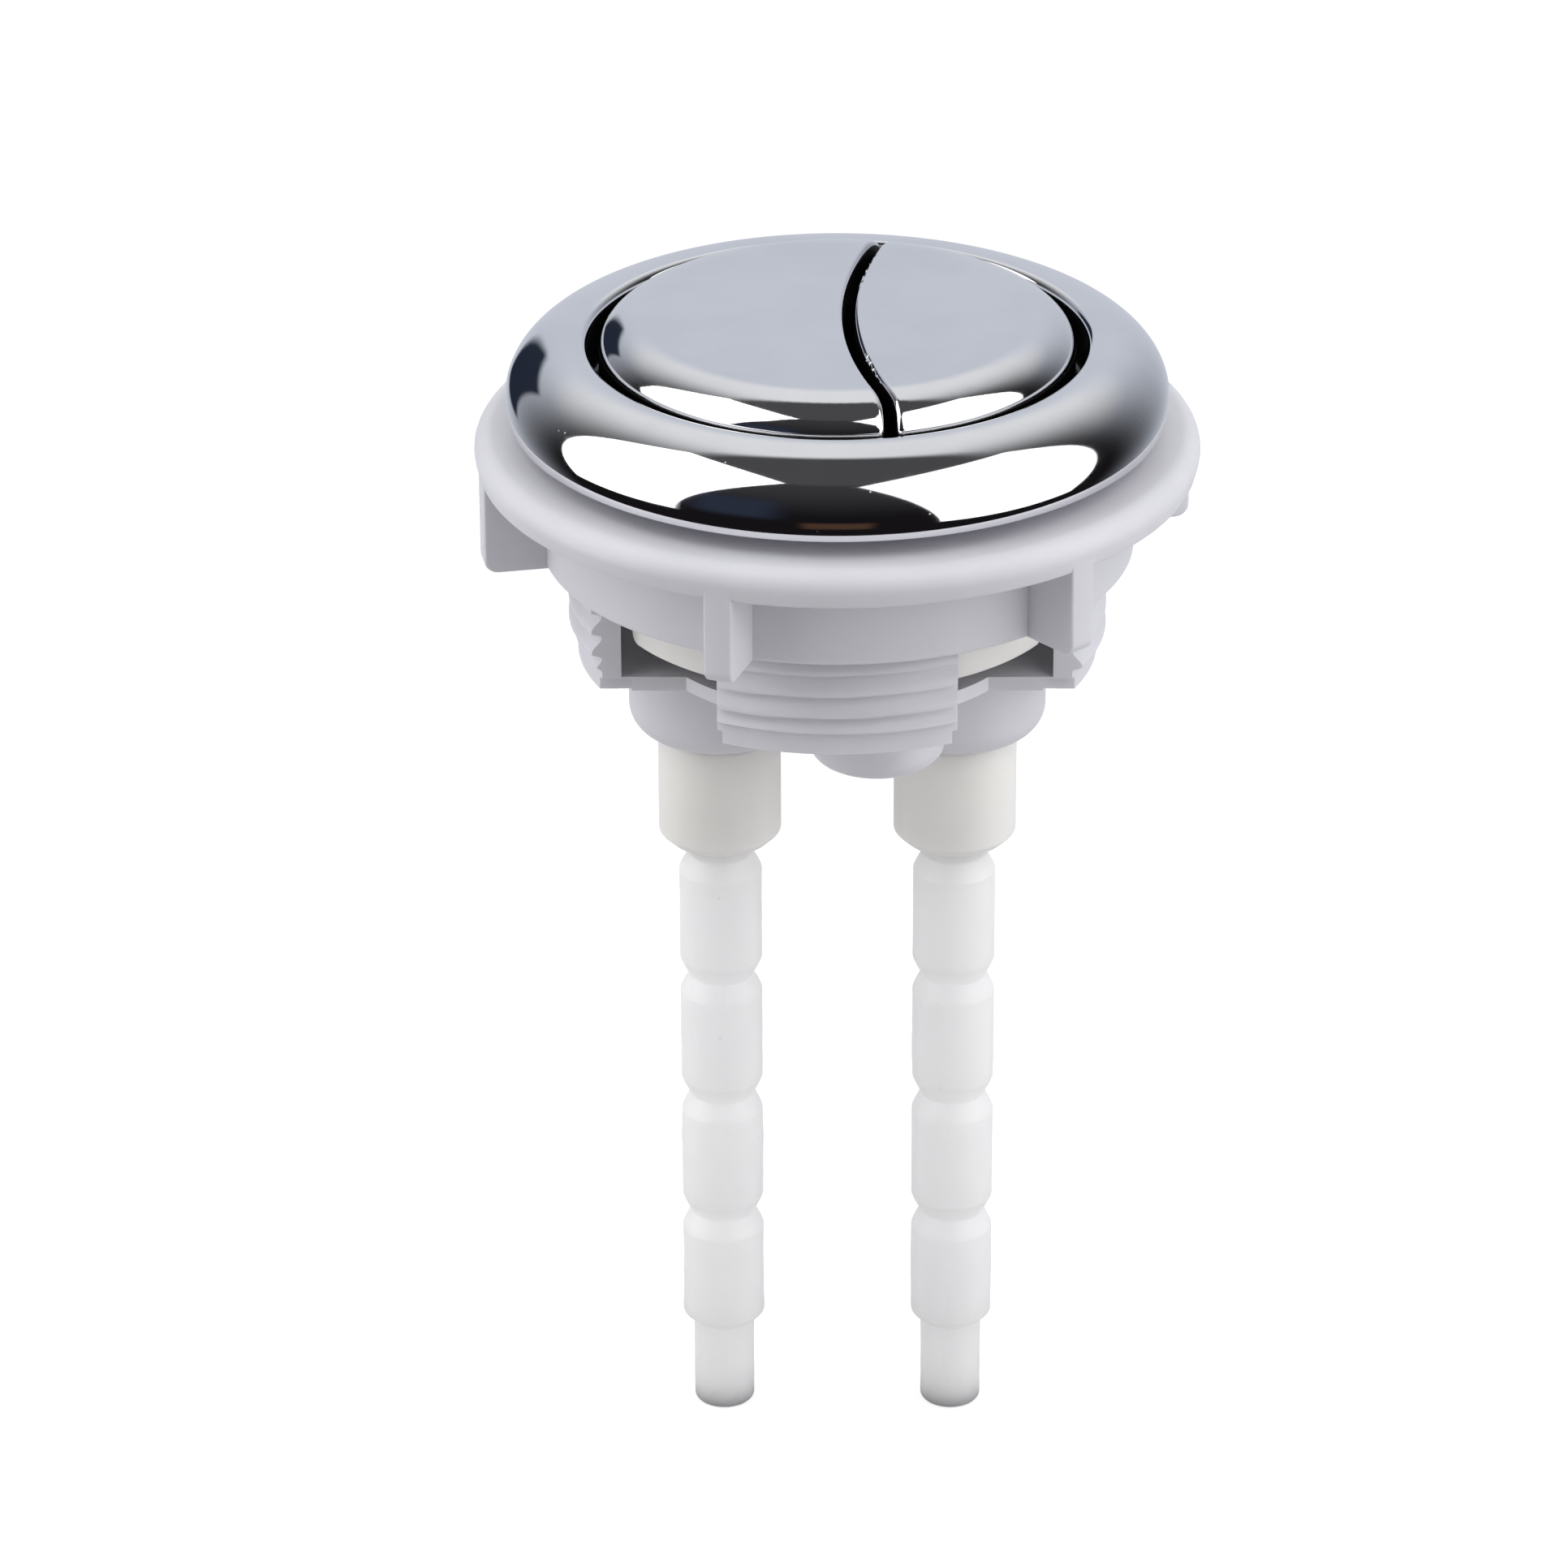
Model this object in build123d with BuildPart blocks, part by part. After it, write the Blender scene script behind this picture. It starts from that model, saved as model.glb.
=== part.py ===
"""Dual flush push button actuator for a cistern lid, in millimetres.

The origin is on the axis of the barrel, in the plane where the bezel seats on the lid, with +Z up.
X runs along the line of the two push rods: the full flush side is at -X, the half flush side at +X.
"""
import os
from math import acos, asin, cos, degrees, hypot, radians, sin, tan

from build123d import *

os.makedirs("parts", exist_ok=True)

# Clearances
run_clear = 0.3  # between pieces that move past each other
seat_clear = 0.05  # between pieces that are fixed to each other
hole_clear = 0.3  # between a screw and a hole that it passes through

# Barrel
thread_d = 57.5
barrel_wall = 2.75
barrel_depth = 27.3  # lid seat to underside of floor
lead_in = 0.8
floor_t = 1.6
floor_d = 40.5
arm_w = 25.0  # width of the floor's arms and of the tongues
window_h = 17.8  # height of the windows between the tongues
flange_t = 2.0
flange_clear = 0.3  # flange's edge to the inside of the bezel
ledge_w = 1.8  # inner ledges that carry the guide insert
ledge_h = 2.2
ledge_len = 14.0

# Guide cups and blind boss under the floor
rod_spacing = 25.5
cup_d = 19.4
cup_wall = 1.6
cup_drop = 10.1  # floor's underside to cup's underside
cup_base_t = 2.0
cup_round = 3.2
boss_d = 14.5
boss_wall = 2.3
boss_drop = 8.3
boss_round = 2.0
boss_x = 4.2
boss_y = -11.0

# Bezel ring
bezel_w = 8.65  # width of the ring
bezel_h = 8.0
bezel_wall = 1.8
bulge_z = 1.9  # level of the ring's widest point
lip_in = 0.35  # how far the lower lip stands inside the widest point
crown_round = 0.95  # round on the opening's upper edge
snap_h = 0.6  # bead that clips under the barrel's flange
snap_w = 0.8

# Buttons
button_gap = 0.9  # between button and barrel bore
rim_gap = 1.25  # between button and bezel opening
press_travel = 9.0
cap_proud = 2.5  # cap's top above the bezel
cap_h = 12.0
cap_wall = 1.8
cap_rim_w = 5.4  # soft rim round the flat top
cap_rim_h = 3.5
split_gap = 1.2
split_round = 0.6
split_long_r = 65.0  # S-shaped split: long bow, short turn, straight run
split_turn_r = 10.0
split_bow_x = 1.2
split_bow_y = 0.75
split_end_x = 5.4

# Plungers
plate_t = 2.0
plate_drop = 3.7  # underside of cap's top to plate
plate_clear = 0.2  # plate's edge to the inside of the cap
piston_d = 14.0
piston_wall = 1.6
piston_base_t = 3.0
stem_d = 8.0

# Guide insert
stop_clear = 1.0  # cap's skirt to insert at full travel
insert_t = 2.0
insert_clear = 0.3  # insert's edge to the barrel bore
guide_wall = 1.6
guide_len = 6.5
skirt_t = 1.8
skirt_in = 1.2  # skirt's outer face inside the barrel bore
skirt_angle = 121.0
skirt_gap = 4.1  # skirt to floor
skirt_round = 1.2

# Springs
spring_wire_d = 1.0
spring_turns = 6.0

# Sockets
socket_d = 13.3
socket_len = 13.1
socket_chamfer_h = 2.6
socket_mouth_t = 0.5
socket_seat = 5.0  # depth of the stem's seat
socket_web = 2.0

# Rods
rod_d = 9.1
notch_below = 1.7  # socket's mouth to the first notch
notch_pitch = 14.9
notch_count = 4
notch_depth = 1.0
notch_half_h = 2.1
rod_end_gap = 1.0  # socket screw to the rod's upper end
tip_d = 6.8
tip_len = 10.4
last_length = 14.1  # last notch to the tip's shoulder
shoulder_h = 1.3
edge_chamfer = 0.5

# Screws
cap_screw_d = 2.0
cap_screw_head_d = 4.6
cap_screw_head_h = 1.5
cap_screw_bite = 2.8
socket_screw_d = 2.2
socket_screw_head_d = 6.0
socket_screw_head_h = 1.8
socket_screw_bite = 8.0
screw_boss_wall = 1.6
cap_screw_in = 4.9  # cap's inner wall to the screw's axis
full_screw_angle = 120.0  # direction of the cap screws from +X, to both sides
half_screw_angle = 43.0
pilot_spare = 0.4  # pilot hole past the screw's end
drive_w = 0.8  # cross recess in the heads
drive_depth = 0.7

# Lock nut
nut_flange_d = 76.8
nut_gap = 2.0  # bezel seat to nut
nut_plate_t = 2.6
nut_rim_h = 4.0
nut_rim_w = 2.4
nut_rim_taper = 15.0  # lean of the rim's outer face, inwards towards its foot
nut_edge_round = 1.1
nut_foot_round = 0.5
nut_h = 13.4
nut_hub_wall = 2.5
rib_count = 6
rib_t = 3.0
rib_in = 0.2  # rib's outer edge inside the flange's edge
rib_round = 1.5
rib_angle = -108.7  # direction of the rib that faces the front

# Radii and levels that follow from the sizes above
thread_r = thread_d / 2
bore_r = thread_r - barrel_wall
button_r = bore_r - button_gap
opening_r = button_r + rim_gap
bezel_r = opening_r + bezel_w
bezel_in_r = bezel_r - bezel_wall
snap_r = bezel_in_r - snap_w
crown_r = opening_r + crown_round
barrel_bottom = -barrel_depth
floor_top = barrel_bottom + floor_t
cap_top = bezel_h + cap_proud
cap_bottom = cap_top - cap_h
cap_side_top = cap_top - cap_rim_h
plate_top = cap_top - cap_wall - plate_drop
plate_bottom = plate_top - plate_t
insert_top = cap_bottom - press_travel - stop_clear
insert_bottom = insert_top - insert_t
skirt_bottom = floor_top + skirt_gap
rod_x = rod_spacing / 2
piston_r = piston_d / 2
piston_bottom = insert_bottom
guide_r = piston_r + run_clear
stem_r = stem_d / 2
cup_r = cup_d / 2
cup_bottom = barrel_bottom - cup_drop
cup_floor = cup_bottom + cup_base_t
boss_r = boss_d / 2
boss_bottom = barrel_bottom - boss_drop
spring_wire_r = spring_wire_d / 2
spring_r = piston_r - run_clear - spring_wire_r
socket_r = socket_d / 2
socket_top = cup_bottom - run_clear
socket_bottom = socket_top - socket_len
web_top = socket_top - socket_seat
web_bottom = web_top - socket_web
stem_bottom = web_top + seat_clear
rod_r = rod_d / 2
rod_top = web_bottom - socket_screw_head_h - rod_end_gap
first_notch = socket_bottom - notch_below
tip_r = tip_d / 2
tip_top = first_notch - (notch_count - 1) * notch_pitch - last_length
tip_bottom = tip_top - tip_len
nut_top = -nut_gap
nut_bottom = nut_top - nut_h
nut_plate_bottom = nut_top - nut_plate_t
nut_rim_bottom = nut_top - nut_rim_h
nut_bore_r = thread_r + run_clear
nut_hub_r = nut_bore_r + nut_hub_wall
nut_flange_r = nut_flange_d / 2
cap_screw_r = button_r - cap_wall - cap_screw_in

# Each side's sign along X, and the direction of its cap screws
sides = {
    "full_flush": (-1, full_screw_angle),
    "half_flush": (1, half_screw_angle),
}


def section_plane(x=0.0, y=0.0):
    """Upright plane through the vertical axis at x, y, for a profile that is turned about it."""
    return Plane(origin=(x, y, 0), x_dir=(1, 0, 0), z_dir=(0, -1, 0))


def upright_axis(x=0.0, y=0.0):
    """Vertical axis at x, y."""
    return Axis((x, y, 0), (0, 0, 1))


def split_side(sign, inset):
    """Plan of what lies on one side of the S-shaped split, set back from its middle line by inset."""
    reach = thread_r
    shift = sign * inset
    long_r = split_long_r - shift
    turn_r = split_turn_r + shift
    both_r = split_long_r + split_turn_r
    long_x = split_bow_x + split_long_r
    turn = degrees(acos((split_bow_x + both_r - split_end_x) / both_r))
    turn_x = long_x - both_r * cos(radians(turn))
    turn_y = split_bow_y - both_r * sin(radians(turn))
    back = degrees(asin((reach - split_bow_y) / long_r))
    with BuildSketch() as side:
        with BuildLine():
            bow = CenterArc((long_x, split_bow_y), long_r, 180 - back, back + turn)
            bend = CenterArc((turn_x, turn_y), turn_r, turn, -turn)
            run = Line(bend @ 1, ((bend @ 1).X, -reach))
            Polyline(run @ 1, (sign * reach, -reach), (sign * reach, reach), bow @ 0)
        make_face()
    return side.sketch


def cap_form(sign, inset):
    """Solid of one button's outline, with its outer faces moved inwards by inset."""
    flat_r = button_r - cap_rim_w
    with BuildPart() as form:
        with BuildSketch(section_plane()):
            with BuildLine():
                Line((0, cap_bottom), (button_r - inset, cap_bottom))
                Line((button_r - inset, cap_bottom), (button_r - inset, cap_side_top))
                EllipticalCenterArc(
                    (flat_r, cap_side_top), cap_rim_w - inset, cap_rim_h - inset, arc_size=90
                )
                Polyline((flat_r, cap_top - inset), (0, cap_top - inset), (0, cap_bottom))
            make_face()
        revolve(axis=Axis.Z)
        with BuildSketch(Plane.XY.offset(cap_bottom)):
            add(split_side(sign, split_gap / 2 + inset))
        extrude(amount=cap_h, mode=Mode.INTERSECT)
    return form.part


def split_edges(form):
    """Edges round the walls along the split, without their lower edges and the seams between them."""
    walls = [
        face
        for face in form.faces()
        if abs(face.normal_at().Z) < 0.01
        and hypot(face.center().X, face.center().Y) < button_r - seat_clear
    ]
    edges = [edge for wall in walls for edge in wall.edges()]
    seams = [edge for edge in edges if edges.count(edge) > 1]
    return [edge for edge in edges if edge not in seams and edge.center().Z > cap_bottom + edge_chamfer]


def write(builder, name):
    """Label a finished piece and write it to its file."""
    builder.part.label = name
    export_step(builder.part, f"parts/{name}.step")


# Bezel ring: a domed shell, open below, that clips over the barrel's flange
with BuildPart() as bezel_ring:
    dome_w = bezel_r - crown_r
    dome_h = bezel_h - bulge_z
    tube_r = opening_r + bezel_wall
    hollow_w = dome_w - bezel_wall
    hollow_h = dome_h - bezel_wall
    hollow_start = degrees(acos((tube_r - crown_r) / hollow_w))
    with BuildSketch(section_plane()):
        with BuildLine():
            TangentArc((bezel_r, bulge_z), (bezel_r - lip_in, 0), tangent=(0, -1))
            EllipticalCenterArc((crown_r, bulge_z), dome_w, dome_h, arc_size=90)
            CenterArc((crown_r, bezel_h - crown_round), crown_round, 90, 90)
            hollow = EllipticalCenterArc((crown_r, bulge_z), hollow_w, hollow_h, arc_size=hollow_start)
            Polyline(
                (opening_r, bezel_h - crown_round),
                (opening_r, flange_t),
                (tube_r, flange_t),
                hollow @ 1,
            )
            Polyline(
                (bezel_in_r, bulge_z),
                (bezel_in_r, snap_h),
                (snap_r, snap_h),
                (snap_r, 0),
                (bezel_r - lip_in, 0),
            )
        make_face()
    revolve(axis=Axis.Z)
write(bezel_ring, "bezel_ring")

# Barrel: flanged tube cut into four tongues, with a cross-shaped floor, guide cups and a blind boss
with BuildPart() as barrel_body:
    with BuildSketch(section_plane()):
        with BuildLine():
            Polyline(
                (bore_r, barrel_bottom),
                (thread_r - lead_in, barrel_bottom),
                (thread_r, barrel_bottom + lead_in),
                (thread_r, 0),
                (snap_r - seat_clear, 0),
                (snap_r - seat_clear, snap_h + seat_clear),
                (bezel_in_r - flange_clear, snap_h + seat_clear),
                (bezel_in_r - flange_clear, flange_t),
                (bore_r, flange_t),
                close=True,
            )
        make_face()
    revolve(axis=Axis.Z)
    with BuildSketch(Plane.XY.offset(barrel_bottom)):
        with GridLocations(arm_w + thread_r, arm_w + thread_r, 2, 2):
            Rectangle(thread_r, thread_r)
    extrude(amount=window_h, mode=Mode.SUBTRACT)
    with BuildSketch(Plane.XY.offset(barrel_bottom)):
        Circle(floor_d / 2)
        Rectangle(thread_d, arm_w)
        Rectangle(arm_w, thread_d)
        Circle(bore_r + barrel_wall / 2, mode=Mode.INTERSECT)
    extrude(amount=floor_t)
    with BuildSketch(Plane.XY.offset(insert_bottom - ledge_h)):
        Rectangle(2 * bore_r, ledge_len)
        Rectangle(2 * (bore_r - ledge_w), ledge_len, mode=Mode.SUBTRACT)
    extrude(amount=ledge_h)
    pots = [
        (-rod_x, 0, cup_r, cup_bottom, cup_round, cup_r - cup_wall, cup_floor),
        (rod_x, 0, cup_r, cup_bottom, cup_round, cup_r - cup_wall, cup_floor),
        (boss_x, boss_y, boss_r, boss_bottom, boss_round, boss_r - boss_wall, boss_bottom + boss_wall),
    ]
    for x, y, outer_r, bottom, edge_round, inner_r, inner_bottom in pots:
        with BuildSketch(section_plane(x, y)):
            with BuildLine():
                foot = Line((0, bottom), (outer_r - edge_round, bottom))
                corner = CenterArc((outer_r - edge_round, bottom + edge_round), edge_round, -90, 90)
                Polyline(corner @ 1, (outer_r, floor_top), (0, floor_top), foot @ 0)
            make_face()
        revolve(axis=upright_axis(x, y))
    for x, y, outer_r, bottom, edge_round, inner_r, inner_bottom in pots:
        with BuildSketch(Plane.XY.offset(inner_bottom)):
            with Locations((x, y)):
                Circle(inner_r)
        extrude(amount=floor_top - inner_bottom, mode=Mode.SUBTRACT)
    with BuildSketch(Plane.XY.offset(cup_bottom)):
        with GridLocations(rod_spacing, 0, 2, 1):
            Circle(stem_r + run_clear)
    extrude(amount=cup_base_t, mode=Mode.SUBTRACT)
write(barrel_body, "barrel_body")

# Lock nut: hub and wide flange with a rounded, turned-down rim, stiffened by radial grip ribs
with BuildPart() as lock_nut:
    edge_in_r = nut_flange_r - nut_edge_round
    rim_in_r = nut_flange_r - nut_rim_w
    with BuildSketch(section_plane()) as nut_section:
        with BuildLine():
            edge = CenterArc((edge_in_r, nut_top - nut_edge_round), nut_edge_round, 90, -90 - nut_rim_taper)
            lean = ((edge @ 1).Y - nut_rim_bottom) * tan(radians(nut_rim_taper))
            Polyline(
                edge @ 1,
                ((edge @ 1).X - lean, nut_rim_bottom),
                (rim_in_r, nut_rim_bottom),
                (rim_in_r, nut_plate_bottom),
                (nut_hub_r, nut_plate_bottom),
                (nut_hub_r, nut_bottom + edge_chamfer),
                (nut_hub_r - edge_chamfer, nut_bottom),
                (nut_bore_r, nut_bottom),
                (nut_bore_r, nut_top),
                edge @ 0,
            )
        make_face()
        foot = nut_section.vertices().filter_by_position(Axis.Y, nut_rim_bottom, nut_rim_bottom)
        fillet(foot, nut_foot_round)
    revolve(axis=Axis.Z)
    rib_r = nut_flange_r - rib_in
    rib_root_r = nut_hub_r - nut_hub_wall / 2
    for index in range(rib_count):
        turn = radians(rib_angle + index * 360 / rib_count)
        rib_plane = Plane(
            origin=(0, 0, 0), x_dir=(cos(turn), sin(turn), 0), z_dir=(sin(turn), -cos(turn), 0)
        )
        with BuildSketch(rib_plane):
            with BuildLine():
                toe = CenterArc((rib_r - rib_round, nut_bottom + rib_round), rib_round, 0, -90)
                Polyline(
                    toe @ 1,
                    (rib_root_r, nut_bottom),
                    (rib_root_r, nut_plate_bottom),
                    (rib_r, nut_plate_bottom),
                    toe @ 0,
                )
            make_face()
        extrude(amount=rib_t / 2, both=True)
write(lock_nut, "lock_nut")

# Guide insert: plate on the barrel's ledges, with two guide tubes and skirts at front and back
with BuildPart() as guide_insert:
    skirt_r = bore_r - skirt_in
    with BuildSketch(Plane.XY.offset(insert_bottom)):
        Circle(bore_r - insert_clear)
    extrude(amount=insert_t)
    with BuildSketch(Plane.XY.offset(insert_bottom - guide_len)):
        with GridLocations(rod_spacing, 0, 2, 1):
            Circle(guide_r + guide_wall)
    extrude(amount=guide_len)
    with BuildSketch(Plane.XY.offset(skirt_bottom)):
        for facing in (-90, 90):
            with BuildLine():
                start = facing - skirt_angle / 2
                outside = CenterArc((0, 0), skirt_r, start, skirt_angle)
                inside = CenterArc((0, 0), skirt_r - skirt_t, start, skirt_angle)
                Line(outside @ 0, inside @ 0)
                Line(outside @ 1, inside @ 1)
            make_face()
    extrude(amount=insert_bottom - skirt_bottom)
    ends = guide_insert.edges().filter_by(GeomType.LINE).group_by(Axis.Z)[0]
    fillet(ends, skirt_round)
    with BuildSketch(Plane.XY.offset(insert_bottom - guide_len)):
        with GridLocations(rod_spacing, 0, 2, 1):
            Circle(guide_r)
    extrude(amount=guide_len + insert_t, mode=Mode.SUBTRACT)
write(guide_insert, "guide_insert")

for side, (sign, screw_angle) in sides.items():
    x = sign * rod_x
    screw_x = cap_screw_r * cos(radians(screw_angle))
    screw_y = cap_screw_r * sin(radians(screw_angle))
    screw_places = [(screw_x, screw_y), (screw_x, -screw_y)]

    # Cap: domed shell with a wall along the split and bosses for its screws
    with BuildPart() as button:
        add(cap_form(sign, 0))
        fillet(split_edges(button), split_round)
        add(cap_form(sign, cap_wall), mode=Mode.SUBTRACT)
        with BuildSketch(Plane.XY.offset(plate_top)):
            with Locations(*screw_places):
                Circle(cap_screw_d / 2 + screw_boss_wall)
        extrude(amount=plate_drop + cap_wall / 2)
        with BuildSketch(Plane.XY.offset(plate_top)):
            with Locations(*screw_places):
                Circle(cap_screw_d / 2 + seat_clear)
        extrude(amount=cap_screw_bite + pilot_spare, mode=Mode.SUBTRACT)
    write(button, f"{side}_button")

    # Plunger: plate inside the cap, hollow piston in the guide tube, stem through the cup
    with BuildPart() as plunger:
        with BuildSketch(Plane.XY.offset(plate_bottom)):
            Circle(button_r - cap_wall - plate_clear)
            add(split_side(sign, split_gap / 2 + cap_wall + plate_clear), mode=Mode.INTERSECT)
            with Locations(*screw_places):
                Circle(cap_screw_d / 2 + hole_clear, mode=Mode.SUBTRACT)
        extrude(amount=plate_t)
        with BuildSketch(Plane.XY.offset(piston_bottom)):
            with Locations((x, 0)):
                Circle(piston_r)
        extrude(amount=plate_bottom - piston_bottom)
        with BuildSketch(Plane.XY.offset(piston_bottom + piston_base_t)):
            with Locations((x, 0)):
                Circle(piston_r - piston_wall)
        extrude(amount=plate_top - piston_bottom - piston_base_t, mode=Mode.SUBTRACT)
        with BuildSketch(Plane.XY.offset(stem_bottom)):
            with Locations((x, 0)):
                Circle(stem_r)
        extrude(amount=piston_bottom - stem_bottom)
        with BuildSketch(Plane.XY.offset(stem_bottom)):
            with Locations((x, 0)):
                Circle(socket_screw_d / 2 + seat_clear)
        extrude(amount=socket_screw_bite + pilot_spare, mode=Mode.SUBTRACT)
    write(plunger, f"{side}_plunger")

    # Screws that hold the cap on the plunger's plate
    with BuildPart() as cap_screws:
        with BuildSketch(Plane.XY.offset(plate_bottom - cap_screw_head_h)):
            with Locations(*screw_places):
                Circle(cap_screw_head_d / 2)
        extrude(amount=cap_screw_head_h)
        with BuildSketch(Plane.XY.offset(plate_bottom)):
            with Locations(*screw_places):
                Circle(cap_screw_d / 2)
        extrude(amount=plate_t + cap_screw_bite)
        with BuildSketch(Plane.XY.offset(plate_bottom - cap_screw_head_h)):
            with Locations(*screw_places):
                Rectangle(cap_screw_head_d / 2, drive_w)
                Rectangle(drive_w, cap_screw_head_d / 2)
        extrude(amount=drive_depth, mode=Mode.SUBTRACT)
    write(cap_screws, f"{side}_cap_screws")

    # Return spring between the cup's floor and the piston
    with BuildPart() as spring:
        spring_bottom = cup_floor + spring_wire_r + seat_clear
        spring_h = piston_bottom - spring_wire_r - seat_clear - spring_bottom
        with BuildLine() as coil:
            Helix(spring_h / spring_turns, spring_h, spring_r, center=(x, 0, spring_bottom))
        with BuildSketch(Plane(origin=coil.line @ 0, z_dir=coil.line % 0)):
            Circle(spring_wire_r)
        sweep(is_frenet=True)
    write(spring, f"{side}_spring")

    # Socket: stem's seat above, rod's bore below, a web between them for the screw
    with BuildPart() as socket:
        with BuildSketch(section_plane(x)):
            with BuildLine():
                Polyline(
                    (stem_r + seat_clear, socket_top),
                    (socket_r - edge_chamfer, socket_top),
                    (socket_r, socket_top - edge_chamfer),
                    (socket_r, socket_bottom + socket_chamfer_h),
                    (rod_r + seat_clear + socket_mouth_t, socket_bottom),
                    (rod_r + seat_clear, socket_bottom),
                    (rod_r + seat_clear, web_bottom),
                    (socket_screw_d / 2 + hole_clear, web_bottom),
                    (socket_screw_d / 2 + hole_clear, web_top),
                    (stem_r + seat_clear, web_top),
                    close=True,
                )
            make_face()
        revolve(axis=upright_axis(x))
    write(socket, f"{side}_socket")

    # Screw that holds the socket on the stem
    with BuildPart() as socket_screw:
        with BuildSketch(Plane.XY.offset(web_bottom - socket_screw_head_h)):
            with Locations((x, 0)):
                Circle(socket_screw_head_d / 2)
        extrude(amount=socket_screw_head_h)
        with BuildSketch(Plane.XY.offset(web_bottom)):
            with Locations((x, 0)):
                Circle(socket_screw_d / 2)
        extrude(amount=stem_bottom + socket_screw_bite - web_bottom)
        with BuildSketch(Plane.XY.offset(web_bottom - socket_screw_head_h)):
            with Locations((x, 0)):
                Rectangle(socket_screw_head_d / 2, drive_w)
                Rectangle(drive_w, socket_screw_head_d / 2)
        extrude(amount=drive_depth, mode=Mode.SUBTRACT)
    write(socket_screw, f"{side}_socket_screw")

    # Rod: notched so that lengths can be snapped off, with a thinner tip
    with BuildPart() as rod:
        outline = [(0, rod_top), (rod_r - edge_chamfer, rod_top), (rod_r, rod_top - edge_chamfer)]
        for index in range(notch_count):
            notch = first_notch - index * notch_pitch
            outline += [
                (rod_r, notch + notch_half_h),
                (rod_r - notch_depth, notch),
                (rod_r, notch - notch_half_h),
            ]
        outline += [
            (rod_r, tip_top + shoulder_h),
            (tip_r, tip_top),
            (tip_r, tip_bottom + edge_chamfer),
            (tip_r - edge_chamfer, tip_bottom),
            (0, tip_bottom),
        ]
        with BuildSketch(section_plane(x)):
            with BuildLine():
                Polyline(*outline, close=True)
            make_face()
        revolve(axis=upright_axis(x))
    write(rod, f"{side}_rod")
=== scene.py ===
"""Dressed push button cistern actuator: chrome top, threaded barrel with its lock nut, notched push rods.

Sizes are in millimetres, as in the part's source, and are turned into metres when a mesh is made.
"""

from math import acos, asin, atan2, cos, degrees, pi, radians, sin, tan

import bmesh
import bpy
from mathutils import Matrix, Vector


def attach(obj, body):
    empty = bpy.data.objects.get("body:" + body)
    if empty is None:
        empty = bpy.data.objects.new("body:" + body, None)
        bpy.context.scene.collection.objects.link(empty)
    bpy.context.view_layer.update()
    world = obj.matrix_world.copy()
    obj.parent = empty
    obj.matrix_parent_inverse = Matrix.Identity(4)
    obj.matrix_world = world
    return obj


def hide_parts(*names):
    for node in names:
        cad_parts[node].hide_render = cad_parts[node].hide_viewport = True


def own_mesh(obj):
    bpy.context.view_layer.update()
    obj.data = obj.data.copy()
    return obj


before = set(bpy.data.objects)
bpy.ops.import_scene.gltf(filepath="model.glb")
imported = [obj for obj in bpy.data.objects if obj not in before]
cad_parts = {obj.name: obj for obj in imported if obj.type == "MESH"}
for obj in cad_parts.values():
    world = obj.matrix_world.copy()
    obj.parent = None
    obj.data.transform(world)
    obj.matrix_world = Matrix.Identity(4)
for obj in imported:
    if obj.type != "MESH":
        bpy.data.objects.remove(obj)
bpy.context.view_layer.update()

MM = 0.001
half_step = 0.5  # of a segment: turns a cutter's edges away from those of what it cuts
face_apart = 0.02  # between faces of joined shells that would otherwise coincide
overcut = 1.0  # reach of a cutter past what it cuts

# Bezel ring
opening_r = 26.35
bezel_r = 35.0
bezel_h = 8.0
bezel_wall = 1.8
bulge_z = 1.9  # level of its widest place
lip_in = 0.35  # how much it draws in below that
crown_round = 0.95
snap_h = 0.6
snap_w = 0.8
gap_wall_room = 0.15  # reach of the dulled, shade-painted upright faces past the opening's edge
lip_steps = 8
dome_steps = 48
crown_steps = 16
hollow_steps = 16
bezel_segments = 256

# Barrel
thread_r = 28.75
thread_depth = 0.95
thread_pitch = 2.44
thread_crest_z = -25.4  # lower edge of the last ridge, at the front
front_turn = 0.25  # of a turn, from the front to where the thread's turns are counted from
ridge_foot = 0.08  # shares of the pitch at which a ridge starts to rise, is full and starts to fall
ridge_full = 0.82
ridge_edge = 0.93
ridge_fade = 0.12  # share of the pitch, to each side, over which the last ridge ends
thread_columns = 289
thread_rows = 200
seam_weld = 0.001
tube_top = 0.5  # within the flange
bore_r = 26.0
barrel_bottom = -27.3
floor_t = 1.6
floor_r = 20.25
floor_steps = 720
arm_w = 25.0
arm_inset = 0.02  # floor's arms inside the tongues' sides
band_in = 0.55  # how much each side of a tongue steps in below its last ridge
band_top = -25.9
cut_room = 1.5  # between the disc's edge and the cuts that narrow the tongues
window_top = -9.5
flange_t = 2.0
flange_round = 0.3
flange_clear = 0.3  # between the flange and the bezel's wall
flange_segments = 160
seat_clear = 0.05  # between the flange and the bezel's snap bead
ledge_w = 1.8
ledge_h = 2.2
ledge_len = 14.0
insert_bottom = -13.5
rod_x = 12.75
cup_r = 9.7
cup_wall = 1.6
cup_bottom = -37.4
cup_base_t = 2.0
cup_round = 3.2
cup_segments = 96
boss_x = 4.2
boss_y = -11.0
boss_r = 7.25
boss_wall = 2.3
boss_bottom = -35.6
boss_round = 2.0
relief_segments = 64
stem_hole_r = 4.3

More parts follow.
